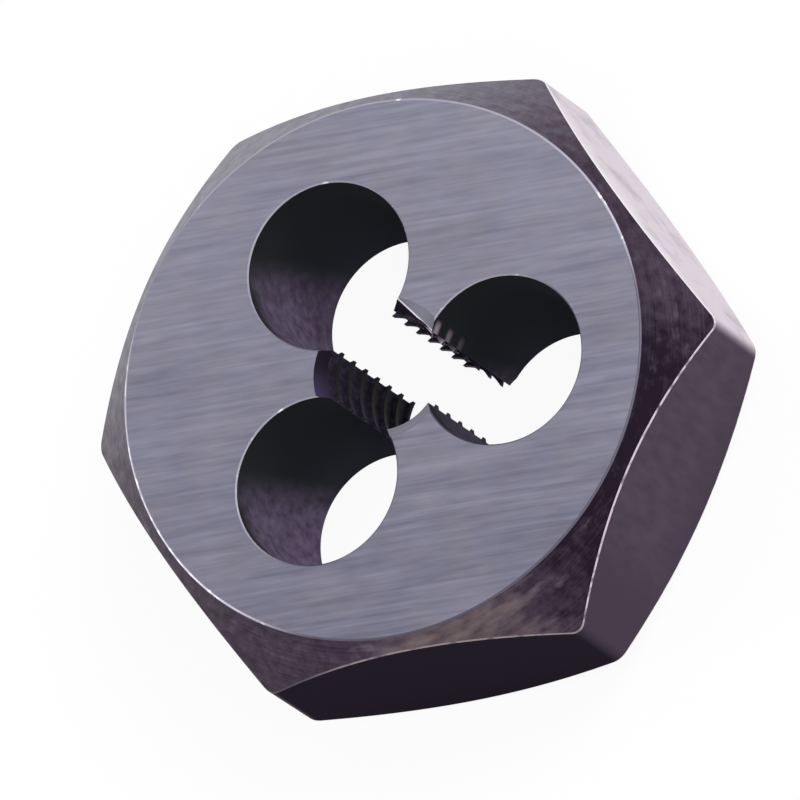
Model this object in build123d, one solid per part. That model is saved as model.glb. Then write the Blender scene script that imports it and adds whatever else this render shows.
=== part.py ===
from build123d import *
from math import ceil, floor, radians, tan
import os

# Hexagonal die nut in hardened steel, one solid piece, in millimetres.
# The thread axis is +Z, the nut lies on one ground face at z = 0, and the
# origin is the centre of that face. Two flats face -Y and +Y.

# Hexagonal body
ACROSS_FLATS = 25.4        # 1 inch, held by a spanner or a die stock
THICKNESS = 9.0
CORNER_RADIUS = 0.7        # rounding of the six upright edges
UPPER_FACE_INSET = 0.545   # from a flat in to the edge of the upper ground face
UPPER_CHAMFER_ANGLE = 48.0  # upper turned cone, measured from the ground face
LOWER_FACE_INSET = 0.6     # from a flat in to the edge of the lower ground face
LOWER_CHAMFER_ANGLE = 37.0  # lower turned cone, which is shallower

# Three chip clearance holes round the thread
HOLE_COUNT = 3
HOLE_DIAMETER = 7.57
HOLE_BREAK_IN = 0.68       # how far each hole reaches inside the bore wall
FIRST_HOLE_ANGLE = 52.9    # from +X, anticlockwise seen from above

# 20 threads to the inch, right hand, 60 degree form
THREAD_PITCH = 1.27
THREAD_MAJOR_DIAMETER = 6.35
THREAD_MINOR_DIAMETER = 4.98
THREAD_ANGLE = 60.0
THREAD_ROOT_FLAT = 0.16    # width of the flat at the bottom of the groove
THREAD_START_HEIGHT = 0.02  # middle of a groove above the lower face, at the first hole

# Countersunk lead-in at both ends of the thread
LEAD_IN_CLEARANCE = 0.03   # radius of the countersink beyond the major radius
LEAD_IN_ANGLE = 120.0      # included angle of the countersink

# How far cutting shapes run past the surface that they cut
OVERRUN = 0.8
GROOVE_OVERRUN = 0.2       # same for the thread's groove, inside the bore wall


def hexagon_blank():
    """Hexagonal prism with rounded upright edges, two flats facing -Y and +Y."""
    outline = RegularPolygon(radius=ACROSS_FLATS / 2, side_count=6, major_radius=False)
    outline = fillet(outline.vertices(), CORNER_RADIUS)
    return extrude(outline, amount=THICKNESS)


def turned_cone(face_inset, chamfer_angle):
    """Space inside a cone that widens upwards from a ground face at z = 0."""
    face_radius = ACROSS_FLATS / 2 - face_inset
    far_radius = face_radius + THICKNESS / tan(radians(chamfer_angle))
    upright = (Align.CENTER, Align.CENTER, Align.MIN)
    return Cone(face_radius, far_radius, THICKNESS, align=upright)


def chamfer_cones():
    """Space left by the two turned cones, one at each ground face."""
    from_below = turned_cone(LOWER_FACE_INSET, LOWER_CHAMFER_ANGLE)
    from_above = turned_cone(UPPER_FACE_INSET, UPPER_CHAMFER_ANGLE)
    return from_below & Pos(0, 0, THICKNESS) * Rot(180, 0, 0) * from_above


def clearance_holes():
    """Straight round holes that break into the bore and part the thread into lands."""
    hole_radius = HOLE_DIAMETER / 2
    hole_circle_radius = THREAD_MINOR_DIAMETER / 2 + hole_radius - HOLE_BREAK_IN
    places = PolarLocations(hole_circle_radius, HOLE_COUNT, start_angle=FIRST_HOLE_ANGLE)
    height = THICKNESS + 2 * OVERRUN
    return [Pos(0, 0, THICKNESS / 2) * place * Cylinder(hole_radius, height) for place in places]


def lead_in(end_height, outward):
    """Countersink at one end of the bore, opening towards outward (+1 up, -1 down)."""
    mouth_radius = THREAD_MAJOR_DIAMETER / 2 + LEAD_IN_CLEARANCE
    depth = mouth_radius / tan(radians(LEAD_IN_ANGLE / 2))
    flare = OVERRUN * tan(radians(LEAD_IN_ANGLE / 2))
    profile = Polyline(
        (0, end_height - outward * depth),
        (mouth_radius + flare, end_height + outward * OVERRUN),
        (0, end_height + outward * OVERRUN),
        close=True,
    )
    return revolve(make_face(Plane.XZ * profile), Axis.Z)


def groove_arc():
    """V groove along the helix from the middle of one clearance hole to the next."""
    minor_radius = THREAD_MINOR_DIAMETER / 2
    major_radius = THREAD_MAJOR_DIAMETER / 2
    inner_radius = minor_radius - GROOVE_OVERRUN
    half_root = THREAD_ROOT_FLAT / 2
    half_mouth = half_root + (major_radius - inner_radius) * tan(radians(THREAD_ANGLE / 2))
    profile = Polyline(
        (inner_radius, -half_mouth),
        (major_radius, -half_root),
        (major_radius, half_root),
        (inner_radius, half_mouth),
        close=True,
    )
    path = Helix(THREAD_PITCH, THREAD_PITCH / HOLE_COUNT, minor_radius)
    return sweep(make_face(Plane.XZ * profile), path, is_frenet=True)


def thread_grooves():
    """Right-hand helix as equal arcs, one for each land and turn, past both faces."""
    rise = THREAD_PITCH / HOLE_COUNT
    lowest = floor((-THREAD_PITCH - THREAD_START_HEIGHT) / rise)
    highest = ceil((THICKNESS + THREAD_PITCH - THREAD_START_HEIGHT) / rise)
    arc = groove_arc()
    return [
        Rot(0, 0, FIRST_HOLE_ANGLE + step * 360 / HOLE_COUNT)
        * Pos(0, 0, THREAD_START_HEIGHT + step * rise)
        * arc
        for step in range(lowest, highest + 1)
    ]


def die_nut():
    """Whole die nut: chamfered hexagon, threaded bore and clearance holes."""
    body = hexagon_blank() & chamfer_cones()
    bore_height = THICKNESS + 2 * OVERRUN
    body -= Pos(0, 0, THICKNESS / 2) * Cylinder(THREAD_MINOR_DIAMETER / 2, bore_height)
    body -= [lead_in(THICKNESS, 1), lead_in(0, -1)]
    body -= clearance_holes()
    for arc in thread_grooves():
        body -= arc
    return body


os.makedirs("parts", exist_ok=True)
export_step(die_nut(), "parts/die_nut.step")
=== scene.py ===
import logging
import math
from dataclasses import dataclass
from enum import IntEnum
from typing import Any

import bmesh
import bpy
from bpy.types import Material, Mesh, Node, NodeSocket, NodeTree, Object, World
from mathutils import Euler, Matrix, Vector


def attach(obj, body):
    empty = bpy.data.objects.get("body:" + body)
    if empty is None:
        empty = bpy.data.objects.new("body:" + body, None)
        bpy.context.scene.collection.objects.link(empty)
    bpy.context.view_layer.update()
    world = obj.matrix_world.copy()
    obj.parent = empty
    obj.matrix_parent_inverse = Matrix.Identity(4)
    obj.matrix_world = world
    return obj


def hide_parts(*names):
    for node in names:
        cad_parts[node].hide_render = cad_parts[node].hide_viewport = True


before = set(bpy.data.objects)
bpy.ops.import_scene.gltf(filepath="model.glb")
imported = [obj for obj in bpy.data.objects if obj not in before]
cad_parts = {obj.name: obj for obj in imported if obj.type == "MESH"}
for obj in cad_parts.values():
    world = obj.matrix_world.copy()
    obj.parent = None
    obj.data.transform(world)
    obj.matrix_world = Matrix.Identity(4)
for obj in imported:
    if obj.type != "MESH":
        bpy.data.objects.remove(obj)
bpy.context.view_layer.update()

# Hexagonal die nut in hardened tool steel, built and dressed in place of its imported solid, which
# is hidden. Its form is worked out in millimetres, and turned to metres in the last step of the
# form.

LOG = logging.getLogger("die_nut")
MM_PER_METRE = 1000.0
NODE_FAMILIES = ("GeometryNode", "FunctionNode", "ShaderNode", "Node")

Pair = tuple[float, float]
Triple = tuple[float, float, float]


class Zone(IntEnum):
    """Surfaces of the nut that were made in different ways."""

    GROUND_FACE = 0
    WORN_EDGE = 1
    TURNED_CONE = 2
    FLAT = 3
    DRILLED_WALL = 4
    CUT_THREAD = 5
    COUNTERSINK = 6

    @property
    def label(self) -> str:
        """Name of the zone's material input."""
        return self.name.replace("_", " ").capitalize()


def linear_colour(hex_code: str) -> tuple[float, float, float, float]:
    """Turns an sRGB hex colour into the linear colour that a socket takes.

    Args:
        hex_code: Six hex digits, such as "8B8C99".

    Returns:
        Linear red, green and blue, and an alpha of 1.
    """
    channels = [int(hex_code[i : i + 2], 16) / 255 for i in (0, 2, 4)]
    lit = [c / 12.92 if c <= 0.04045 else ((c + 0.055) / 1.055) ** 2.4 for c in channels]
    return lit[0], lit[1], lit[2], 1.0


def add_node(tree: NodeTree, kind: str, inputs: Any = None, **settings: Any) -> Node:
    """Adds a node with its settings and its inputs.

    Args:
        tree: The node tree that takes the node.
        kind: The node's type name without its family, and its operation after a dot,
            such as Math.ADD for a ShaderNodeMath that adds.
        inputs: Values, sockets or nodes for the inputs, as a list in the sockets' order
            with None for one left alone, or as a dict by socket name or number. A node
            stands for its first output, a list of them goes to one input, and a colour
            is given as hex digits.
        **settings: The node's own properties.

    Returns:
        The new node.
    """
    kind, _, operation = kind.partition(".")
    family = next(name for name in NODE_FAMILIES if hasattr(bpy.types, name + kind))
    node = tree.nodes.new(family + kind)
    if operation:
        node.operation = operation
    for name, value in settings.items():
        setattr(node, name, value)
    pairs = inputs.items() if isinstance(inputs, dict) else enumerate(inputs or [])
    for key, value in pairs:
        for one in value if isinstance(value, list) else [value]:
            source = one.outputs[0] if isinstance(one, Node) else one
            if isinstance(source, NodeSocket):
                tree.links.new(source, node.inputs[key])
            elif source is not None:
                socket = node.inputs[key]
                socket.default_value = linear_colour(one) if socket.type == "RGBA" else one
    return node


class FormTree:
    """A Geometry Nodes tree with named inputs for its sizes and one geometry output."""

    def __init__(self, name: str, inputs: dict[str, Any]) -> None:
        """Makes the tree and its inputs.

        Args:
            name: The tree's name.
            inputs: Each input's name and first value: an int, a float or a material.
        """
        self.tree = bpy.data.node_groups.new(name, "GeometryNodeTree")
        self.identifiers: dict[str, str] = {}
        kinds = {int: "NodeSocketInt", float: "NodeSocketFloat"}
        for label, value in inputs.items():
            kind = kinds.get(type(value), "NodeSocketMaterial")
            socket = self.tree.interface.new_socket(label, in_out="INPUT", socket_type=kind)
            socket.default_value = value
            self.identifiers[label] = socket.identifier
        self.tree.interface.new_socket(
            "Geometry", in_out="OUTPUT", socket_type="NodeSocketGeometry"
        )
        self.source = self.tree.nodes.new("NodeGroupInput")

    def __getitem__(self, label: str) -> NodeSocket:
        """Gives the socket of a named input."""
        return self.source.outputs[label]

    def add(self, kind: str, inputs: Any = None, **settings: Any) -> Node:
        """Adds a node to this tree, as add_node does."""
        return add_node(self.tree, kind, inputs, **settings)

    def mark_zone(self, geometry: Any, zone: Any) -> Node:
        """Stores the zone of each face as an attribute.

        Args:
            geometry: The surface.
            zone: The zone's number, or the node that gives it for each face.

        Returns:
            The node with the marked surface.
        """
        return self.add(
            "StoreNamedAttribute",
            {"Geometry": geometry, "Name": "zone", "Value": zone},
            data_type="INT",
            domain="FACE",
        )

    def close(self, geometry: Any) -> "FormTree":
        """Links the result to the tree's output and returns this tree."""
        self.add("GroupOutput", [geometry])
        return self


@dataclass(frozen=True)
class HexagonBody:
    """The hexagon blank with a turned cone at each face, in millimetres and degrees."""

    across_flats: float = 25.4
    thickness: float = 9.0
    corner_radius: float = 0.7
    upper_face_inset: float = 0.545
    upper_chamfer_angle: float = 48.0
    lower_face_inset: float = 0.6
    lower_chamfer_angle: float = 37.0
    edge_break: float = 0.06
    sides: int = 6
    columns: int = 1080
    corner_steps: int = 24
    break_steps: int = 3
    merge_distance: float = 1e-4

    def form(self) -> FormTree:
        """Makes the body as one closed skin.

        Each column of a grid is one section through the axis: from the middle of the
        lower face out to the cone, up the flat and back in to the middle of the upper
        face. The rounded hexagon's outline says how far out each column's flat is.

        Returns:
            The tree.
        """
        form = FormTree(
            "hexagon_body",
            {
                "Across Flats": self.across_flats,
                "Thickness": self.thickness,
                "Corner Radius": self.corner_radius,
                "Upper Inset": self.upper_face_inset,
                "Upper Slope": math.tan(math.radians(self.upper_chamfer_angle)),
                "Lower Inset": self.lower_face_inset,
                "Lower Slope": math.tan(math.radians(self.lower_chamfer_angle)),
                "Edge Break": self.edge_break,
                "Columns": self.columns,
            },
        )

        # Each half of a section has its pole, two broken edges and the flat's middle row
        middle_row = 2 * (self.break_steps + 1) + 1
        rows = 2 * middle_row + 1
        stride = form.add("IntegerMath.ADD", [form["Columns"], 1])
        grid = form.add("MeshGrid", {"Vertices X": rows, "Vertices Y": stride})
        index = form.add("InputIndex")
        row = form.add("IntegerMath.DIVIDE_FLOOR", [index, stride])
        column = form.add("IntegerMath.MODULO", [index, stride])
        place = self._place(form, row, column, middle_row)
        skin = form.add("SetPosition", {"Geometry": grid, "Position": place})

        # The faces' bands, counted from either ground face to the flat
        band = form.add("IntegerMath.DIVIDE_FLOOR", [index, form["Columns"]])
        from_top = form.add("IntegerMath.SUBTRACT", [rows - 2, band])
        nearer = form.add("IntegerMath.MINIMUM", [band, from_top])
        edge = [Zone.WORN_EDGE] * self.break_steps
        bands = [Zone.GROUND_FACE, *edge, Zone.TURNED_CONE, *edge, Zone.FLAT]
        zone = form.add("IndexSwitch", data_type="INT")
        while len(zone.index_switch_items) < len(bands):
            zone.index_switch_items.new()
        form.tree.links.new(nearer.outputs[0], zone.inputs["Index"])
        for number, choice in enumerate(bands):
            zone.inputs[number + 1].default_value = int(choice)
        marked = form.mark_zone(skin, zone)
        merged = form.add("MergeByDistance", {"Geometry": marked, "Distance": self.merge_distance})
        return form.close(form.add("FlipFaces", [merged]))

    def _place(self, form: FormTree, row: Node, column: Node, middle_row: int) -> Node:
        """Adds the nodes that say where each point of the grid goes.

        Args:
            form: The body's tree.
            row: Row of the point, which is its step along the section.
            column: Column of the point, which is its share of the way round.
            middle_row: The row along the middle of the flats.

        Returns:
            The node that gives the place.
        """
        add = form.add
        half_width = add("Math.MULTIPLY", [form["Across Flats"], 0.5])
        half_height = add("Math.MULTIPLY", [form["Thickness"], 0.5])
        corner = add("Math.DIVIDE", [half_width, math.cos(math.pi / self.sides)])
        hexagon = add("CurvePrimitiveCircle", {"Resolution": self.sides, "Radius": corner})
        outline = add(
            "FilletCurve",
            {"Curve": hexagon, "Count": self.corner_steps, "Radius": form["Corner Radius"]},
            mode="POLY",
        )
        share = add("Math.DIVIDE", [column, form["Columns"]])
        point = add("SampleCurve", {"Curves": outline, "Factor": share}).outputs["Position"]
        flat_radius = add("VectorMath.LENGTH", [point]).outputs["Value"]
        outward = add("VectorMath.NORMALIZE", [point])
        above = add("Math.SUBTRACT", [row, middle_row])
        side = add("Math.SIGN", [above])
        is_upper = add("Math.GREATER_THAN", [above, 0.0])
        inset, slope = (
            add(
                "Switch",
                [is_upper, form[f"Lower {size}"], form[f"Upper {size}"]],
                input_type="FLOAT",
            )
            for size in ("Inset", "Slope")
        )
        face_radius = add("Math.SUBTRACT", [half_width, inset])
        away = add("Math.ABSOLUTE", [above])
        step = add("Math.SUBTRACT", [middle_row, away])

        # The section's corners, as radius and depth: face to cone, then cone to flat. The
        # Mix node's sockets 4 and 5 are its vectors.
        reach = add("Math.SUBTRACT", [flat_radius, face_radius])
        cone_depth = add("Math.MULTIPLY", [reach, slope])
        face_corner = add("CombineXYZ", [face_radius])
        flat_corner = add("CombineXYZ", [flat_radius, None, cone_depth])
        middle = add("CombineXYZ", [flat_radius, None, half_height])
        fall = add("VectorMath.SUBTRACT", [flat_corner, face_corner])
        down_cone = add("VectorMath.NORMALIZE", [fall])
        along_face = add("CombineXYZ", [form["Edge Break"]])
        along_cone = add("VectorMath.SCALE", {0: down_cone, "Scale": form["Edge Break"]})
        along_flat = add("CombineXYZ", [None, None, form["Edge Break"]])
        rounded = []
        for corner_point, before, after, first in (
            (face_corner, along_face, along_cone, 1),
            (flat_corner, along_cone, along_flat, 2 + self.break_steps),
        ):
            start = add("VectorMath.SUBTRACT", [corner_point, before])
            end = add("VectorMath.ADD", [corner_point, after])
            turn = add("MapRange", [step, first, first + self.break_steps])
            legs = [
                add("Mix", {0: turn, 4: a, 5: b}, data_type="VECTOR").outputs[1]
                for a, b in ((start, corner_point), (corner_point, end))
            ]
            bend = add("Mix", {0: turn, 4: legs[0], 5: legs[1]}, data_type="VECTOR")
            rounded.append(bend.outputs[1])
        section = rounded[0]

        # Each limit lies half way between two of the section's steps
        for limit, later in ((1.5 + self.break_steps, rounded[1]), (middle_row - 0.5, middle)):
            past = add("Math.GREATER_THAN", [step, limit])
            section = add("Switch", [past, section, later], input_type="VECTOR")
        pole = add("Math.LESS_THAN", [step, 0.5])
        section = add("Switch", [pole, section], input_type="VECTOR")
        parts = add("SeparateXYZ", [section])
        spread = add("VectorMath.SCALE", {0: outward, "Scale": parts.outputs["X"]})
        lift = add("Math.SUBTRACT", [half_height, parts.outputs["Z"]])
        height = add("Math.MULTIPLY_ADD", [side, lift, half_height])
        raised = add("CombineXYZ", [None, None, height])
        return add("VectorMath.ADD", [spread, raised])


@dataclass(frozen=True)
class Drill:
    """A closed cutter for a straight hole with a flared rim, running past both faces."""

    thickness: float = 9.0
    overrun: float = 0.8
    steps: int = 160
    blank_height: float = 6.0

    def form(self) -> FormTree:
        """Makes the cutter upright on the axis.

        Returns:
            The tree, whose radius, rim and zones are inputs.
        """
        form = FormTree(
            "drill_with_rim",
            {
                "Radius": 1.0,
                "Thickness": self.thickness,
                "Rim Depth": 0.1,
                "Rim Slope": 1.0,
                "Overrun": self.overrun,
                "Steps": self.steps,
                "Wall Zone": int(Zone.DRILLED_WALL),
                "Rim Zone": int(Zone.WORN_EDGE),
            },
        )
        add = form.add
        blank = add(
            "MeshCylinder",
            {
                "Vertices": form["Steps"],
                "Side Segments": 3,
                "Radius": form["Radius"],
                "Depth": self.blank_height,
            },
        )
        half_height = add("Math.MULTIPLY", [form["Thickness"], 0.5])
        parts = add("SeparateXYZ", [add("InputPosition")])
        away = add("Math.ABSOLUTE", [parts.outputs["Z"]])
        is_end = add("Math.GREATER_THAN", [away, self.blank_height / 3])
        end_height = add("Math.ADD", [half_height, form["Overrun"]])
        wall_height = add("Math.SUBTRACT", [half_height, form["Rim Depth"]])
        level = add("Switch", [is_end, wall_height, end_height], input_type="FLOAT")
        side = add("Math.SIGN", [parts.outputs["Z"]])
        height = add("Math.MULTIPLY_ADD", [side, level, half_height])
        rim_height = add("Math.ADD", [form["Rim Depth"], form["Overrun"]])
        flare = add("Math.MULTIPLY", [rim_height, form["Rim Slope"]])
        wider = add("Math.DIVIDE", [flare, form["Radius"]])
        growth = add("Math.MULTIPLY_ADD", [is_end, wider, 1.0])
        across = add("CombineXYZ", [parts.outputs["X"], parts.outputs["Y"]])
        spread = add("VectorMath.SCALE", {0: across, "Scale": growth})
        raised = add("CombineXYZ", [None, None, height])
        place = add("VectorMath.ADD", [spread, raised])
        cutter = add("SetPosition", {"Geometry": blank, "Position": place})
        now = add("SeparateXYZ", [add("InputPosition")])
        lift = add("Math.SUBTRACT", [now.outputs["Z"], half_height])
        distance = add("Math.ABSOLUTE", [lift])
        on_rim = add("Math.GREATER_THAN", [distance, wall_height])
        zone = add("Switch", [on_rim, form["Wall Zone"], form["Rim Zone"]], input_type="INT")
        return form.close(form.mark_zone(cutter, zone))


@dataclass(frozen=True)
class ClearanceHoles:
    """Three round chip clearance holes round the thread, in millimetres and degrees."""

    count: int = 3
    diameter: float = 7.57
    circle_radius: float = 5.595
    first_angle: float = 52.9
    rim_break: float = 0.06

    def form(self, drill: FormTree) -> FormTree:
        """Makes the cutters of all the holes.

        Args:
            drill: The tree of a cutter with a flared rim.

        Returns:
            The tree.
        """
        form = FormTree(
            "clearance_holes",
            {
                "Count": self.count,
                "Radius": self.diameter / 2,
                "Circle Radius": self.circle_radius,
                "First Angle": math.radians(self.first_angle),
                "Rim Break": self.rim_break,
            },
        )
        sizes = {"Radius": form["Radius"], "Rim Depth": form["Rim Break"]}
        one = form.add("Group", sizes, node_tree=drill.tree)
        ring = form.add(
            "CurvePrimitiveCircle",
            {"Resolution": form["Count"], "Radius": form["Circle Radius"]},
        )
        holes = form.add("InstanceOnPoints", {"Points": ring, "Instance": one})
        turn = form.add("CombineXYZ", [None, None, form["First Angle"]])
        turned = form.add("Transform", {"Geometry": holes, "Rotation": turn})
        return form.close(form.add("RealizeInstances", [turned]))


@dataclass(frozen=True)
class ThreadedBore:
    """The bore with its right-hand thread and countersinks, in millimetres and degrees."""

    pitch: float = 1.27
    major_diameter: float = 6.35
    minor_diameter: float = 4.98
    thread_angle: float = 60.0
    root_flat: float = 0.16
    start_height: float = 0.02
    start_angle: float = 52.9
    groove_overrun: float = 0.2
    lead_in_clearance: float = 0.03
    lead_in_angle: float = 120.0
    thickness: float = 9.0
    turn_steps: int = 120

    @property
    def lead_in_slope(self) -> float:
        """Growth of the countersink's radius for each unit of height."""
        return math.tan(math.radians(self.lead_in_angle / 2))

    @property
    def mouth_radius(self) -> float:
        """Radius of the countersink at the ground face."""
        return self.major_diameter / 2 + self.lead_in_clearance

    @property
    def lead_in_depth(self) -> float:
        """Height of the countersink, from the ground face to the bore's wall."""
        return (self.mouth_radius - self.minor_diameter / 2) / self.lead_in_slope

    def bore(self, drill: FormTree) -> FormTree:
        """Makes the cutter of the plain bore with its two countersinks.

        Args:
            drill: The tree of a cutter with a flared rim.

        Returns:
            The tree.
        """
        form = FormTree(
            "countersunk_bore",
            {
                "Radius": self.minor_diameter / 2,
                "Lead-in Depth": self.lead_in_depth,
                "Lead-in Slope": self.lead_in_slope,
            },
        )
        sizes = {
            "Radius": form["Radius"],
            "Rim Depth": form["Lead-in Depth"],
            "Rim Slope": form["Lead-in Slope"],
            "Wall Zone": int(Zone.CUT_THREAD),
            "Rim Zone": int(Zone.COUNTERSINK),
        }
        return form.close(form.add("Group", sizes, node_tree=drill.tree))

    def groove(self) -> FormTree:
        """Makes the thread's cutter: its V profile swept along the helix.

        Returns:
            The tree. The groove's middle is at the start height where it passes the
            first hole, and it runs past both faces.
        """
        form = FormTree(
            "thread_groove",
            {
                "Pitch": self.pitch,
                "Minor Radius": self.minor_diameter / 2,
                "Groove Depth": (self.major_diameter - self.minor_diameter) / 2,
                "Flank Slope": math.tan(math.radians(self.thread_angle / 2)),
                "Root Flat": self.root_flat,
                "Overrun": self.groove_overrun,
                "Start Height": self.start_height,
                "Start Angle": math.radians(self.start_angle),
                "Thickness": self.thickness,
                "Turn Steps": self.turn_steps,
            },
        )
        add = form.add
        inside = add("Math.DIVIDE", [form["Thickness"], form["Pitch"]])
        with_ends = add("Math.ADD", [inside, 2.0])
        turns = add("Math.CEIL", [with_ends])
        climb = add("Math.MULTIPLY", [turns, form["Pitch"]])
        helix = add(
            "CurveSpiral",
            {
                "Resolution": form["Turn Steps"],
                "Rotations": turns,
                "Start Radius": form["Minor Radius"],
                "End Radius": form["Minor Radius"],
                "Height": climb,
            },
        )
        upright = add("SetCurveNormal", [helix], mode="Z_UP")
        depth = add("Math.ADD", [form["Groove Depth"], form["Overrun"]])
        both = add("Math.MULTIPLY", [form["Flank Slope"], 2.0])
        mouth = add("Math.MULTIPLY_ADD", [depth, both, form["Root Flat"]])
        profile = add(
            "CurvePrimitiveQuadrilateral",
            {
                "Bottom Width": mouth,
                "Top Width": form["Root Flat"],
                "Offset": 0.0,
                "Height": depth,
            },
            mode="TRAPEZOID",
        )
        half_depth = add("Math.MULTIPLY", [depth, 0.5])
        outward = add("Math.SUBTRACT", [half_depth, form["Overrun"]])
        shift = add("CombineXYZ", [outward])
        turned = add(
            "Transform",
            {"Geometry": profile, "Translation": shift, "Rotation": (0.0, 0.0, -math.pi / 2)},
        )
        sweep = add("CurveToMesh", {"Curve": upright, "Profile Curve": turned, "Fill Caps": True})
        below = add("Math.SUBTRACT", [form["Start Height"], form["Pitch"]])
        placed = add(
            "Transform",
            {
                "Geometry": form.mark_zone(sweep, int(Zone.CUT_THREAD)),
                "Translation": add("CombineXYZ", [None, None, below]),
                "Rotation": add("CombineXYZ", [None, None, form["Start Angle"]]),
            },
        )
        return form.close(placed)


@dataclass(frozen=True)
class Side:
    """A side of an axis on which a finish or painted light differs, in degrees anticlockwise from
    +X.

    Its share is a half at the half width from the middle, and it grows from 0 to 1 over
    the blend before and after that.
    """

    middle: float
    half_width: float
    blend: float


class Coat:
    """A material in the making: its tree, its shader and each point's place in mm.

    The polar place is the radius in mm, the way round in radians and the height in mm,
    for marks left by turning.
    """

    def __init__(self, name: str, **sockets: Any) -> None:
        """Makes the material.

        Args:
            name: The material's name.
            **sockets: Constants for the shader's sockets, with _ for a space.
        """
        self.material = bpy.data.materials.new(name)
        self.material.use_nodes = True
        self.tree = self.material.node_tree
        self.shader = self.tree.nodes["Principled BSDF"]
        for label, value in sockets.items():
            self.shader.inputs[label.replace("_", " ")].default_value = value
        place = self.add("TexCoord").outputs["Object"]
        self.place = self.add("VectorMath.SCALE", {0: place, "Scale": MM_PER_METRE})
        parts = self.add("SeparateXYZ", [self.place]).outputs
        self.height = parts["Z"]
        across = self.add("CombineXYZ", [parts["X"], parts["Y"]])
        self.radius = self.add("VectorMath.LENGTH", [across]).outputs["Value"]
        self.way_round = self.add("Math.ARCTAN2", [parts["Y"], parts["X"]])
        self.polar = self.add("CombineXYZ", [self.radius, self.way_round, self.height])

    def add(self, kind: str, inputs: Any = None, **settings: Any) -> Node:
        """Adds a node to the material, as add_node does."""
        return add_node(self.tree, kind, inputs, **settings)

    def drive(self, label: str, source: Any) -> None:
        """Links a node or socket to one of the shader's sockets."""
        socket = source.outputs[0] if isinstance(source, Node) else source
        self.tree.links.new(socket, self.shader.inputs[label])

    def layers(self, lowest: Any, *further: tuple[Any, Any]) -> Any:
        """Lays colours over one another, each as far as its share goes.

        Args:
            lowest: The lowest colour, as hex digits or a socket.
            *further: Share and colour of each layer over it, from the lower to the upper.

        Returns:
            The socket with the colour that results.
        """
        # The Mix node's sockets 6 and 7 are its colours
        colour = lowest
        for share, upper in further:
            blend = self.add("Mix", {0: share, 6: colour, 7: upper}, data_type="RGBA")
            colour = blend.outputs[2]
        return colour

    def weighed(self, *patterns: tuple[Any, float], start: float = 0.0) -> Any:
        """Adds up patterns, each times its weight.

        Args:
            *patterns: Each pattern and its weight.
            start: The number that they are added to.

        Returns:
            The node with the sum.
        """
        total: Any = start
        for pattern, weight in patterns:
            total = self.add("Math.MULTIPLY_ADD", [pattern, weight, total])
        return total

    def overlap(self, *shares: Any) -> Any:
        """Gives the share of a surface on which several shares meet: their product.

        Args:
            *shares: The shares, as nodes or sockets.

        Returns:
            The node with the product.
        """
        meeting = shares[0]
        for share in shares[1:]:
            meeting = self.add("Math.MULTIPLY", [meeting, share])
        return meeting

    def pattern(
        self, size: float | Triple, detail: float, place: Any = None, roughness: float = 0.5
    ) -> Node:
        """Gives a cloudy pattern between 0 and 1.

        Args:
            size: Size of a cloud in the place's own units, along each axis or along all.
            detail: How many finer patterns lie over it.
            place: Where it is read, when that is not the point's place in mm.
            roughness: Strength of each finer pattern, as a share of the one before.

        Returns:
            The node with the pattern.
        """
        sizes = size if isinstance(size, tuple) else (size,) * 3
        stretch = tuple(1 / along for along in sizes)
        where = self.place if place is None else place
        stretched = self.add("VectorMath.MULTIPLY", [where, stretch])
        look = {"Vector": stretched, "Scale": 1.0, "Detail": detail, "Roughness": roughness}
        return self.add("TexNoise", look)

    def sector(self, side: Side, angle: Any = None) -> Node:
        """Gives 1 on one side of an axis and 0 away, for wear or painted light that differs round
        it.

        Args:
            side: The side and how it blends.
            angle: Way round the axis in radians, when that is not the bore's axis.

        Returns:
            The node with the share.
        """
        way_round = self.way_round if angle is None else angle
        turned = self.add("Math.ADD", [way_round, -math.radians(side.middle)])
        nearness = self.add("Math.COSINE", [turned])
        far, near = (
            math.cos(math.radians(side.half_width + blend)) for blend in (side.blend, -side.blend)
        )
        return self.add("MapRange", [nearness, far, near], interpolation_type="SMOOTHSTEP")


# In the finishes a band is two heights in mm and levels are two values of a pattern. A
# share grows from 0 at the first to 1 at the second.


@dataclass(frozen=True)
class Scratches:
    """One set of grinding scratches: its turn, its width and length in mm, its weight."""

    turn: float
    width: float
    length: float
    weight: float


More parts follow.
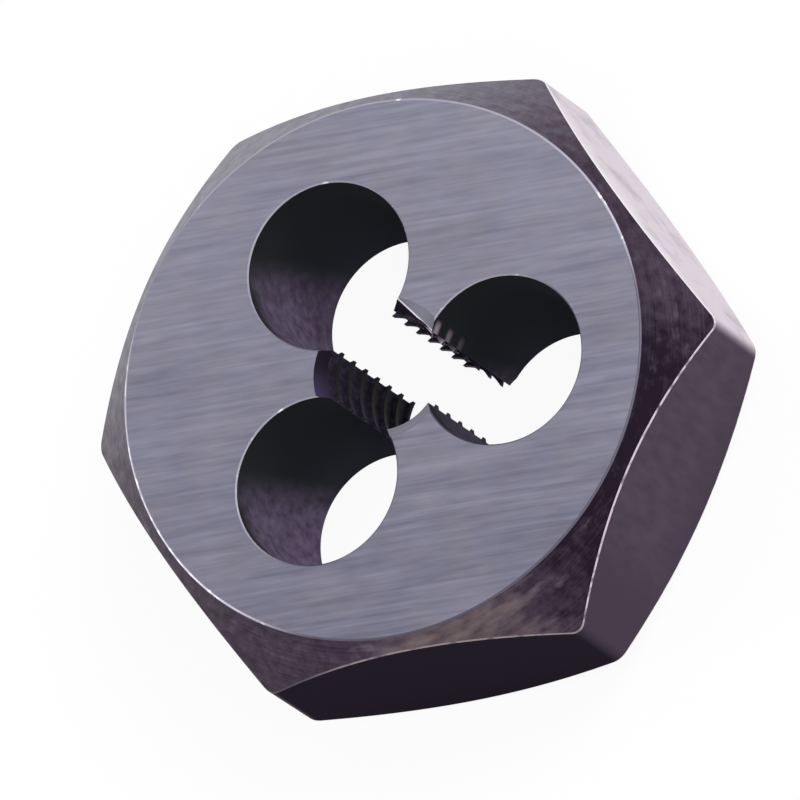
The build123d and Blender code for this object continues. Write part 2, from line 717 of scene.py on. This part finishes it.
@dataclass(frozen=True)
class SurfaceGroundSteel:
    """Hardened tool steel from a surface grinder: grey, with fine straight scratches.

    Real scratches of the wheel's grit are some 0.02 mm wide, too fine to show, so the
    finest set is drawn 0.12 mm wide.
    """

    pale: str = "928F9E"
    dark: str = "706D7D"
    cool_pale: str = "8F8FA0"
    cool_dark: str = "6D6D7F"
    scratch_angle: float = -63.0
    scratches: tuple[Scratches, ...] = (
        Scratches(0.0, 0.12, 6.0, 0.28),
        Scratches(1.5, 0.26, 6.5, 0.55),
        Scratches(9.0, 0.26, 3.0, 0.22),
        Scratches(-4.0, 0.50, 1.4, 0.26),
        Scratches(-2.0, 1.30, 12.0, 0.30),
    )
    contrast: float = 1.85
    middle_shade: float = 0.5
    tint_size: float = 1.4
    tint_levels: Pair = (0.4, 0.6)
    cloud_size: float = 5.0
    cloud_weight: float = 0.25
    painted_light_azimuth: float = 24.0
    painted_light_share: float = 0.26
    nut_radius: float = 12.0
    roughness: Pair = (0.3, 0.42)
    scratch_depth: float = 0.002

    def material(self) -> Material:
        """Makes the finish.

        Returns:
            The material.
        """
        coat = Coat("surface_ground_steel", Metallic=1.0)
        waves = []
        for one in self.scratches:
            along = math.radians(self.scratch_angle + one.turn)
            straight = coat.add("Mapping", {"Vector": coat.place, "Rotation": (0.0, 0.0, -along)})
            size = (one.length, one.width, 1.0)
            waves.append(coat.pattern(size, detail=2.0, place=straight, roughness=0.45))
        clouds = coat.pattern(self.cloud_size, detail=3.0)
        weights = [one.weight for one in self.scratches] + [self.cloud_weight]
        marks = coat.weighed(*zip(waves + [clouds], weights), start=-sum(weights) / 2)

        # Painted light: the face is a little paler towards one side of the nut, darker away from
        # it
        side = math.radians(self.painted_light_azimuth)
        slope = self.painted_light_share / self.nut_radius
        towards = (slope * math.cos(side), slope * math.sin(side), 0.0)
        lean = coat.add("VectorMath.DOT_PRODUCT", [coat.place, towards])
        leaning = coat.add("Math.ADD", [lean.outputs["Value"], self.middle_shade])
        shade = coat.add("Math.MULTIPLY_ADD", [marks, self.contrast, leaning], use_clamp=True)
        patches = coat.pattern(self.tint_size, detail=4.0)
        tint = coat.add("MapRange", [patches, *self.tint_levels])
        dark = coat.layers(self.dark, (tint, self.cool_dark))
        pale = coat.layers(self.pale, (tint, self.cool_pale))
        coat.drive("Base Color", coat.layers(dark, (shade, pale)))
        coat.drive("Roughness", coat.add("MapRange", [waves[0], 0.0, 1.0, *self.roughness]))
        depth = self.scratch_depth / MM_PER_METRE
        relief = coat.add("Bump", {"Strength": 0.5, "Distance": depth, "Height": waves[0]})
        coat.drive("Normal", relief)
        return coat.material


@dataclass(frozen=True)
class TurnedBlackSteel:
    """Black oxide over a turned cone: purple-brown and mottled, in lines round the axis.

    It has painted shade, darker on the side of one flat, and painted light, paler towards grey
    on the side across from that.
    The lathe's feed leaves a line every 0.08 mm.
    """

    dark: str = "251B28"
    middle: str = "4A3D4C"
    light: str = "858390"
    middle_level: float = 0.33
    brown: str = "7C6D6C"
    grey: str = "857C87"
    painted_shade_side: Side = Side(-89.0, 24.0, 12.0)
    painted_shade_weight: float = -0.26
    painted_light_side: Side = Side(55.0, 47.0, 39.0)
    painted_light_weight: float = 0.66
    scuffed_side: Side = Side(-140.0, 12.0, 12.0)
    scuffed_weight: float = 0.36
    start_level: float = -0.255
    line_size: Triple = (0.08, 0.4, 0.08)
    line_weight: float = 0.35
    line_depth: float = 0.003
    mottle_size: float = 0.55
    scuff_size: Triple = (0.41667, 0.1, 0.41667)
    scuff_levels: Pair = (0.6, 1.12)
    scuff_share: float = 0.9
    roughness: Pair = (0.52, 0.32)

    def material(self) -> Material:
        """Makes the finish.

        Returns:
            The material.
        """
        coat = Coat("turned_black_oxide", Metallic=1.0)
        lines = coat.pattern(self.line_size, detail=2.0, place=coat.polar)
        mottle = coat.pattern(self.mottle_size, detail=4.0, roughness=0.6)
        # Painted shade on the side of one flat and painted light on the side across from it
        level = coat.weighed(
            (lines, self.line_weight),
            (mottle, 1 - self.line_weight),
            (coat.sector(self.painted_shade_side), self.painted_shade_weight),
            (coat.sector(self.painted_light_side), self.painted_light_weight),
            start=self.start_level,
        )
        low = coat.add("MapRange", [level, 0.0, self.middle_level])
        high = coat.add("MapRange", [level, self.middle_level, 1.0])
        oxide = coat.layers(self.dark, (low, self.middle), (high, self.light))

        # Scuffs let brown or grey steel through, most of all on one side
        scuffs = coat.pattern(self.scuff_size, detail=5.0, place=coat.polar)
        is_brown = coat.sector(self.scuffed_side)
        chance = coat.add("Math.MULTIPLY_ADD", [is_brown, self.scuffed_weight, scuffs])
        worn = coat.add("MapRange", [chance, *self.scuff_levels, 0.0, self.scuff_share])
        steel = coat.layers(self.grey, (is_brown, self.brown))
        coat.drive("Base Color", coat.layers(oxide, (worn, steel)))
        coat.drive("Roughness", coat.add("MapRange", [mottle, 0.0, 1.0, *self.roughness]))
        depth = self.line_depth / MM_PER_METRE
        relief = coat.add("Bump", {"Strength": 0.4, "Distance": depth, "Height": lines})
        coat.drive("Normal", relief)
        return coat.material


@dataclass(frozen=True)
class BlackOxideFlat:
    """Purple black oxide on the flats, one pale with painted reflection, one dull and dark with
    painted shade.
    """

    painted_highlight: str = "DCCFDA"
    grey: str = "BDB2BD"
    face_highlight: str = "F4EDF4"
    pale_purple: str = "44334A"
    dark_purple: str = "38273E"
    low_purple: str = "341F39"
    shaded_matt: str = "251F2A"
    painted_bright_flat: Side = Side(-30.0, 30.0, 1.4)
    shaded_matt_flat: Side = Side(-150.0, 30.0, 1.4)
    purple_end: Side = Side(-118.0, 9.0, 8.0)
    streak_size: Triple = (0.4, 0.4, 1.3)
    blotch_size: float = 2.0
    blotch_weight: float = 0.75
    purple_levels: Pair = (0.34, 0.66)
    bright_flat_levels: Pair = (0.36, 0.52)
    foot_band: Pair = (3.5, 0.0)
    face_band: Pair = (6.2, 8.0)
    face_share: float = 0.6
    roughness: float = 0.4

    def material(self) -> Material:
        """Makes the finish.

        Returns:
            The material.
        """
        coat = Coat("black_oxide_flat", Roughness=self.roughness, Specular_IOR_Level=0.0)
        streaks = coat.pattern(self.streak_size, detail=4.0)
        blotches = coat.pattern(self.blotch_size, detail=3.0)
        purple_shade = coat.add("MapRange", [streaks, *self.purple_levels])
        at_foot = coat.add("MapRange", [coat.height, *self.foot_band])
        low = coat.add("Math.MAXIMUM", [at_foot, coat.sector(self.purple_end)])
        purple = coat.layers(
            self.dark_purple, (purple_shade, self.pale_purple), (low, self.low_purple)
        )
        weight = self.blotch_weight
        mottle = coat.weighed((streaks, 1 - weight), (blotches, weight))
        # Painted reflection: one flat is pale, and paler still towards the ground face
        bright_flat_shade = coat.add("MapRange", [mottle, *self.bright_flat_levels])
        near_face = coat.add("MapRange", [coat.height, *self.face_band, 0.0, self.face_share])
        painted_highlight = coat.layers(self.grey, (bright_flat_shade, self.painted_highlight), (near_face, self.face_highlight))
        # Painted shade: another flat is almost black, and dull
        is_shaded_matt = coat.sector(self.shaded_matt_flat)
        flats = coat.layers(purple, (coat.sector(self.painted_bright_flat), painted_highlight), (is_shaded_matt, self.shaded_matt))
        coat.drive("Base Color", flats)
        coat.drive("Metallic", coat.add("Math.SUBTRACT", [1.0, is_shaded_matt]))
        return coat.material


@dataclass(frozen=True)
class DrilledBlackSteel:
    """Black oxide on the drilled walls: dull and almost black; purple tint and painted light on
    one side.
    """

    black: str = "2D2F31"
    deep_black_painted_light: str = "454850"
    dark_purple: str = "5F4F6A"
    pale_purple: str = "A090B2"
    painted_highlight: str = "CDB9C9"
    painted_lit_side: Side = Side(160.0, 43.0, 18.0)
    painted_lit_lean: float = 0.5
    shaded_side: Side = Side(145.0, 18.0, 9.0)
    dim_land: Side = Side(-105.0, 25.0, 10.0)
    dim_weight: float = -0.55
    tapped_side: Side = Side(88.0, 6.5, 3.0)
    tapped_land: Side = Side(322.0, 25.0, 5.0)
    tap_start: float = 8.35
    tap_depth: float = 3.4
    tap_slant: float = 5.0
    tap_share: float = 0.8
    holes: ClearanceHoles = ClearanceHoles()
    bore: ThreadedBore = ThreadedBore()
    depth_band: Pair = (9.0, 0.5)
    painted_light_depth_power: float = 0.4
    rim_band: Pair = (8.7, 7.7)
    rim_share: float = 0.1
    mark_size: Triple = (0.42, 0.42, 0.63)
    mark_levels: Pair = (0.24, 0.8)
    roughness: float = 0.7

    def way_round_hole(self, coat: Coat) -> Node:
        """Gives the way round the nearest hole's own axis, in radians.

        Args:
            coat: The material that takes the nodes.

        Returns:
            The node with the angle.
        """
        step = 2 * math.pi / self.holes.count
        first = math.radians(self.holes.first_angle)
        turned = coat.add("Math.ADD", [coat.way_round, step / 2 - first])
        snapped = coat.add("Math.SNAP", [turned, step])
        hole = coat.add("Math.ADD", [snapped, first])
        ways = [coat.add("Math." + way, [hole]) for way in ("COSINE", "SINE")]
        axis = coat.add(
            "VectorMath.SCALE",
            {0: coat.add("CombineXYZ", ways), "Scale": self.holes.circle_radius},
        )
        away = coat.add("VectorMath.SUBTRACT", [coat.place, axis])
        parts = coat.add("SeparateXYZ", [away]).outputs
        return coat.add("Math.ARCTAN2", [parts["Y"], parts["X"]])

    def tap_marks_and_glints(self, coat: Coat, angle: Node) -> Node:
        """Marks where the tap's teeth ran out on the wall beside one land, once a pitch, painted
        bright as highlights.

        Args:
            coat: The material that takes the nodes.
            angle: Way round the hole's own axis, in radians.

        Returns:
            The node with the marks' share.
        """
        down = coat.add("Math.SUBTRACT", [self.tap_start, coat.height])
        turns = coat.add("Math.MULTIPLY", [down, 2 * math.pi / self.bore.pitch])
        corner = math.radians(self.tapped_side.middle)
        past = coat.add("Math.SUBTRACT", [corner, angle])
        slanted = coat.add("Math.MULTIPLY_ADD", [past, self.tap_slant, turns])
        wave = coat.add("Math.COSINE", [slanted])
        bar = coat.add("MapRange", [wave, 0.0, 1.0, 0.0, self.tap_share])
        fade = coat.add("MapRange", [down, self.tap_depth, 0.0])
        beside_land = coat.sector(self.tapped_side, angle)
        return coat.overlap(coat.sector(self.tapped_land), bar, fade, beside_land)

    def material(self) -> Material:
        """Makes the finish.

        Returns:
            The material.
        """
        coat = Coat("drilled_black_oxide", Roughness=self.roughness, Specular_IOR_Level=0.0)
        marks = coat.pattern(self.mark_size, detail=5.0, roughness=0.55)
        shade = coat.add("MapRange", [marks, *self.mark_levels])
        purple = coat.layers(self.dark_purple, (shade, self.pale_purple))
        angle = self.way_round_hole(coat)
        # Painted light: the walls grow paler towards the bottom, and the oxide's purple tint shows
        # lit on one side of each hole, most of all deep down; painted shade keeps it off the
        # shaded side just under the rim and dims it beside one land
        depth = coat.add("MapRange", [coat.height, *self.depth_band])
        leaning = coat.add("Math.MULTIPLY_ADD", [depth, self.painted_lit_lean, angle])
        depth_light = coat.add("Math.POWER", [depth, self.painted_light_depth_power])
        below = coat.add("MapRange", [coat.height, *self.rim_band, self.rim_share])
        away = coat.add("Math.SUBTRACT", [1.0, coat.sector(self.shaded_side, angle)])
        lit = coat.add("Math.MAXIMUM", [below, away])
        dim = coat.weighed((coat.sector(self.dim_land), self.dim_weight), start=1.0)
        amount = coat.overlap(coat.sector(self.painted_lit_side, leaning), depth_light, lit, dim)
        oxide = coat.layers(self.black, (depth, self.deep_black_painted_light), (amount, purple))
        # Painted highlights on the tap's run-out marks
        walls = coat.layers(oxide, (self.tap_marks_and_glints(coat, angle), self.painted_highlight))
        coat.drive("Base Color", walls)
        return coat.material


@dataclass(frozen=True)
class CutThreadSteel:
    """Tapped and hardened thread: dark flanks, with a bright painted highlight at one land's end.
    """

    dark: str = "2B2733"
    pale: str = "443C50"
    crest: str = "18161D"
    painted_highlight: str = "B4A8B4"
    glint_side: Side = Side(329.0, 6.0, 4.0)
    glint_band: Pair = (5.0, 7.5)
    wear_size: Triple = (1.0, 0.07143, 0.4)
    wear_levels: Pair = (0.4, 0.7)
    crest_radius: float = 2.51
    roughness: float = 0.5

    def material(self) -> Material:
        """Makes the finish.

        Returns:
            The material.
        """
        coat = Coat("cut_thread_steel", Roughness=self.roughness, Specular_IOR_Level=0.05)
        wear = coat.pattern(self.wear_size, detail=4.0, place=coat.polar)
        shade = coat.add("MapRange", [wear, *self.wear_levels])
        at_crest = coat.add("Math.LESS_THAN", [coat.radius, self.crest_radius])
        # Painted highlight at one land's end, towards the ground face
        near_face = coat.add("MapRange", [coat.height, *self.glint_band])
        is_glint = coat.overlap(coat.sector(self.glint_side), near_face)
        thread = coat.layers(
            self.dark, (shade, self.pale), (at_crest, self.crest), (is_glint, self.painted_highlight)
        )
        coat.drive("Base Color", thread)
        coat.drive("Metallic", is_glint)
        return coat.material


@dataclass(frozen=True)
class CountersunkSteel:
    """Countersinks turned in the ground faces: oxide on two lands, grey on the third.

    One land's oxide stops at a straight painted highlight; beyond that its steel is grey too, with
    painted shade.
    """

    grey: str = "82818F"
    dark_grey: str = "747381"
    shaded_grey_beyond: str = "64636E"
    oxide: str = "1A131F"
    pale_oxide: str = "3B3150"
    deep_oxide: str = "0C0910"
    line: str = "C2BCC9"
    grey_land: Side = Side(232.9, 60.0, 3.0)
    grey_metal: float = 0.2
    pale_side: Side = Side(148.0, 22.0, 22.0)
    deep_share: float = 0.85
    line_azimuth: float = 339.7
    line_reach: float = 2.69
    line_width: float = 0.06
    line_blur: float = 0.03
    bore: ThreadedBore = ThreadedBore()
    ring_size: Triple = (0.08333, 0.66667, 0.08333)
    ring_levels: Pair = (0.3, 0.7)
    roughness: float = 0.4

    def material(self) -> Material:
        """Makes the finish.

        Returns:
            The material.
        """
        coat = Coat("countersunk_steel", Roughness=self.roughness, Specular_IOR_Level=0.03)
        rings = coat.pattern(self.ring_size, detail=2.0, place=coat.polar)
        shade = coat.add("MapRange", [rings, *self.ring_levels])
        ends = (self.bore.mouth_radius, self.bore.minor_diameter / 2)
        inwards = coat.add("MapRange", [coat.radius, *ends, 0.0, self.deep_share])
        side = math.radians(self.line_azimuth)
        towards = (math.cos(side), math.sin(side), 0.0)
        reach = coat.add("VectorMath.DOT_PRODUCT", [coat.place, towards])
        # Painted highlight along a straight line; beyond it, grey darkened by painted shade
        on_highlight_line, beyond = (
            coat.add("MapRange", [reach.outputs["Value"], edge, edge + self.line_blur])
            for edge in (self.line_reach - self.line_width, self.line_reach)
        )
        is_grey = coat.sector(self.grey_land)
        cones = coat.layers(
            self.oxide,
            (coat.sector(self.pale_side), self.pale_oxide),
            (inwards, self.deep_oxide),
            (on_highlight_line, self.line),
            (beyond, self.shaded_grey_beyond),
            (is_grey, coat.layers(self.dark_grey, (shade, self.grey))),
        )
        coat.drive("Base Color", cones)
        is_metal = coat.add(
            "Math.MULTIPLY_ADD", [is_grey, self.grey_metal, on_highlight_line], use_clamp=True
        )
        coat.drive("Metallic", is_metal)
        return coat.material


@dataclass(frozen=True)
class BareSteelEdge:
    """Edges worn through to the steel: thin pale lines, broken where oxide is left.
    They carry painted glints, a painted highlight on one side and painted shade on another.

    The inner edges are those of the ground faces and the holes, and the outer ones lie
    between the cones and the flats.
    """

    bright: str = "F2F0F6"
    silver: str = "C6C2D0"
    pale: str = "A4A0AE"
    shade_darkened: str = "57525F"
    pink: str = "DDCCD9"
    brown: str = "988A8C"
    oxide: str = "54495A"
    grey: str = "908E9B"
    grey_side: Side = Side(90.0, 14.0, 6.0)
    painted_rim_highlight: Side = Side(136.0, 30.0, 10.0)
    shade_darkened_side: Side = Side(-112.0, 66.0, 10.0)
    worn_side: Side = Side(-110.0, 57.0, 8.0)
    brown_side: Side = Side(-150.0, 32.0, 4.0)
    painted_bright_flat: Side = Side(-30.0, 30.0, 2.0)
    rim_radius: float = 12.135
    outer_radius: float = 12.4
    patch_size: float = 0.5
    worn_levels: Pair = (0.3, 0.5)
    shine_levels: Pair = (0.46, 0.6)
    glint_levels: Pair = (0.62, 0.7)
    roughness: float = 0.5

    def material(self) -> Material:
        """Makes the finish.

        Returns:
            The material.
        """
        coat = Coat("bare_steel_edge", Metallic=1.0, Roughness=self.roughness)
        patches = coat.pattern(self.patch_size, detail=4.0)
        worn, shine, glint = (
            coat.add("MapRange", [patches, *levels])
            for levels in (self.worn_levels, self.shine_levels, self.glint_levels)
        )
        is_rim, is_outer = (
            coat.add("Math.GREATER_THAN", [coat.radius, limit])
            for limit in (self.rim_radius, self.outer_radius)
        )
        # Painted glints, painted shade on one side and a painted highlight along part of the
        # ground faces' rim
        inner = coat.layers(
            self.pale,
            (glint, self.bright),
            (coat.sector(self.shade_darkened_side), self.shade_darkened),
            (coat.sector(self.grey_side), self.grey),
            (
                coat.overlap(is_rim, coat.sector(self.painted_rim_highlight)),
                coat.layers(self.silver, (shine, self.bright)),
            ),
        )
        outer = coat.layers(self.pink, (coat.sector(self.brown_side), self.brown))
        is_worn = coat.overlap(worn, coat.sector(self.worn_side))
        # The outer edges of the pale flat take its painted reflection
        outer = coat.layers(
            self.oxide, (is_worn, outer), (coat.sector(self.painted_bright_flat), self.bright)
        )
        coat.drive("Base Color", coat.layers(inner, (is_outer, outer)))
        return coat.material


@dataclass
class DieNut:
    """The whole nut: the body less its holes, bore and thread, each surface in its finish."""

    body: HexagonBody = HexagonBody()
    drill: Drill = Drill()
    holes: ClearanceHoles = ClearanceHoles()
    bore: ThreadedBore = ThreadedBore()
    sharp_angle: float = 25.0

    def form(self, finishes: dict[Zone, Material]) -> FormTree:
        """Makes the tree of the whole nut.

        Args:
            finishes: The material of each zone.

        Returns:
            The tree, whose result is in metres with each zone in its own finish.
        """
        form = FormTree("die_nut", {zone.label: finish for zone, finish in finishes.items()})
        drill = self.drill.form()
        parts = [
            form.add("Group", node_tree=part.tree)
            for part in (
                self.body.form(),
                self.holes.form(drill),
                self.bore.bore(drill),
                self.bore.groove(),
            )
        ]
        cut = form.add(
            "MeshBoolean.DIFFERENCE",
            {"Mesh 1": parts[0], "Mesh 2": parts[1:]},
            solver="MANIFOLD",
        )
        in_metres = form.add("Transform", {"Geometry": cut, "Scale": (1 / MM_PER_METRE,) * 3})
        shown = form.add("RealizeInstances", [in_metres])
        stored = form.add("InputNamedAttribute", {"Name": "zone"}, data_type="INT")

        # The Compare node's sockets 2 and 3 are its whole numbers
        for zone in finishes:
            chosen = form.add("Compare.EQUAL", {2: stored, 3: int(zone)}, data_type="INT")
            shown = form.add(
                "SetMaterial",
                {"Geometry": shown, "Selection": chosen, "Material": form[zone.label]},
            )
        return form.close(shown)

    def build(self, finishes: dict[Zone, Material]) -> Object:
        """Builds the nut as a plain mesh.

        Args:
            finishes: The material of each zone.

        Returns:
            The finished object, at the origin.
        """
        form = self.form(finishes)
        piece = bpy.data.objects.new("die_nut_steel", bpy.data.meshes.new("die_nut_steel"))
        bpy.context.scene.collection.objects.link(piece)
        maker = piece.modifiers.new("form", "NODES")
        maker.node_group = form.tree
        for zone, finish in finishes.items():
            maker[form.identifiers[zone.label]] = finish
        scene_state = bpy.context.evaluated_depsgraph_get()
        mesh = bpy.data.meshes.new_from_object(piece.evaluated_get(scene_state))
        piece.modifiers.remove(maker)
        piece.data = mesh
        self.sharpen(mesh)
        return piece

    def sharpen(self, mesh: Mesh) -> None:
        """Shades the mesh smooth, but sharp at corners and from one finish to the next."""
        work = bmesh.new()
        work.from_mesh(mesh)
        limit = math.radians(self.sharp_angle)
        for face in work.faces:
            face.smooth = True
        for edge in work.edges:
            sides = {face.material_index for face in edge.link_faces}
            edge.smooth = len(sides) == 1 and edge.calc_face_angle(math.pi) < limit
        work.to_mesh(mesh)
        work.free()


@dataclass(frozen=True)
class Lamp:
    """A soft square lamp that looks at the nut, in degrees and metres."""

    name: str
    azimuth: float
    elevation: float
    distance: float
    size: float
    share: float

    def place(self) -> Object:
        """Makes the lamp, strong enough for its share of a plain level of light.

        Returns:
            The lamp.
        """
        light = bpy.data.lights.new(self.name, "AREA")
        light.size = self.size
        light.energy = self.share * (math.pi * self.distance) ** 2
        lamp = bpy.data.objects.new(self.name, light)
        turn = Euler((0.0, -math.radians(self.elevation), math.radians(self.azimuth)))
        lamp.location = turn.to_matrix() @ Vector((self.distance, 0.0, 0.0))
        lamp.rotation_euler = lamp.location.to_track_quat("Z", "Y").to_euler()
        lamp.visible_camera = False
        bpy.context.scene.collection.objects.link(lamp)
        return lamp


@dataclass(frozen=True)
class Studio:
    """Plain pale floor, soft light and the camera, in metres and degrees."""

    floor_size: float = 6.0
    floor_drop: float = 0.00003
    floor_colour: str = "F4F4F4"
    white: str = "FFFFFF"
    floor_glow: float = 0.93
    sky_light: float = 0.6
    camera_place: Triple = (-0.09026793, -0.41478948, 0.75961222)
    camera_turn: Triple = (17.70479587, 23.85384972, -63.90103185)
    camera_lens: float = 900.0
    lamps: tuple[Lamp, ...] = (
        Lamp("key_lamp", -25.0, 50.0, 0.56, 0.256, 0.45),
        Lamp("front_lamp", -102.0, 60.0, 0.56, 0.256, 0.15),
        Lamp("side_lamp", 130.0, 40.0, 0.56, 0.16, 0.15),
    )

    def seen_rays(self, tree: NodeTree, share: float) -> Node:
        """Adds the test for rays that show the background, seen or mirrored.

        Args:
            tree: The tree that takes the nodes.
            share: What the test gives for such a ray, and 0 is what it gives otherwise.

        Returns:
            The node with the share.
        """
        path = add_node(tree, "LightPath").outputs
        mirrored = add_node(
            tree,
            "Math.MAXIMUM",
            [path["Is Glossy Ray"], path["Is Transmission Ray"]],
        )
        shown = add_node(tree, "Math.MAXIMUM", [path["Is Camera Ray"], mirrored])
        return add_node(tree, "Math.MULTIPLY", [shown, share])

    def floor(self) -> Object:
        """Makes the floor, near white where it is seen and with the nut's shadow on it.

        Returns:
            The floor.
        """
        half = self.floor_size / 2
        mesh = bpy.data.meshes.new("floor")
        round_it = ((-half, -half), (half, -half), (half, half), (-half, half))
        corners = [(x, y, -self.floor_drop) for x, y in round_it]
        mesh.from_pydata(corners, [], [(0, 1, 2, 3)])
        material = bpy.data.materials.new("pale_paper")
        material.use_nodes = True
        tree = material.node_tree
        tree.nodes.clear()
        paper = add_node(tree, "BsdfDiffuse", [self.floor_colour])
        glow = add_node(tree, "Emission", [self.white, 1.0])
        both = add_node(tree, "MixShader", [self.seen_rays(tree, self.floor_glow), paper, glow])
        add_node(tree, "OutputMaterial", [both])
        mesh.materials.append(material)
        floor = bpy.data.objects.new("floor", mesh)
        bpy.context.scene.collection.objects.link(floor)
        return floor

    def sky(self) -> World:
        """Makes the soft light from all round, which is seen and mirrored as white.

        Returns:
            The world.
        """
        world = bpy.data.worlds.new("soft_studio")
        world.use_nodes = True
        tree = world.node_tree
        tree.nodes.clear()
        white = self.seen_rays(tree, 1.0 - self.sky_light)
        strength = add_node(tree, "Math.ADD", [white, self.sky_light])
        light = add_node(tree, "Background", [self.white, strength])
        add_node(tree, "OutputWorld", [light])
        bpy.context.scene.world = world
        return world

    def camera(self) -> Object:
        """Makes the camera at the photograph's angle.

        Returns:
            The camera.
        """
        data = bpy.data.cameras.new("camera")
        data.lens = self.camera_lens
        camera = bpy.data.objects.new("camera", data)
        camera.location = self.camera_place
        camera.rotation_euler = [math.radians(turn) for turn in self.camera_turn]
        bpy.context.scene.collection.objects.link(camera)
        bpy.context.scene.camera = camera
        return camera


def main() -> None:
    """Builds the nut, dresses it and sets it in the studio."""
    logging.basicConfig(level=logging.INFO, format="%(name)s: %(message)s")
    finishes = {
        Zone.GROUND_FACE: SurfaceGroundSteel().material(),
        Zone.WORN_EDGE: BareSteelEdge().material(),
        Zone.TURNED_CONE: TurnedBlackSteel().material(),
        Zone.FLAT: BlackOxideFlat().material(),
        Zone.DRILLED_WALL: DrilledBlackSteel().material(),
        Zone.CUT_THREAD: CutThreadSteel().material(),
        Zone.COUNTERSINK: CountersunkSteel().material(),
    }
    nut = DieNut().build(finishes)
    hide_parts("die_nut")
    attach(nut, "root")
    LOG.info("%s has %d faces", nut.name, len(nut.data.polygons))

    studio = Studio()
    studio.floor()
    studio.sky()
    for lamp in studio.lamps:
        lamp.place()
    studio.camera()
    bpy.context.scene.view_settings.view_transform = "Standard"


if __name__ == "__main__":
    main()
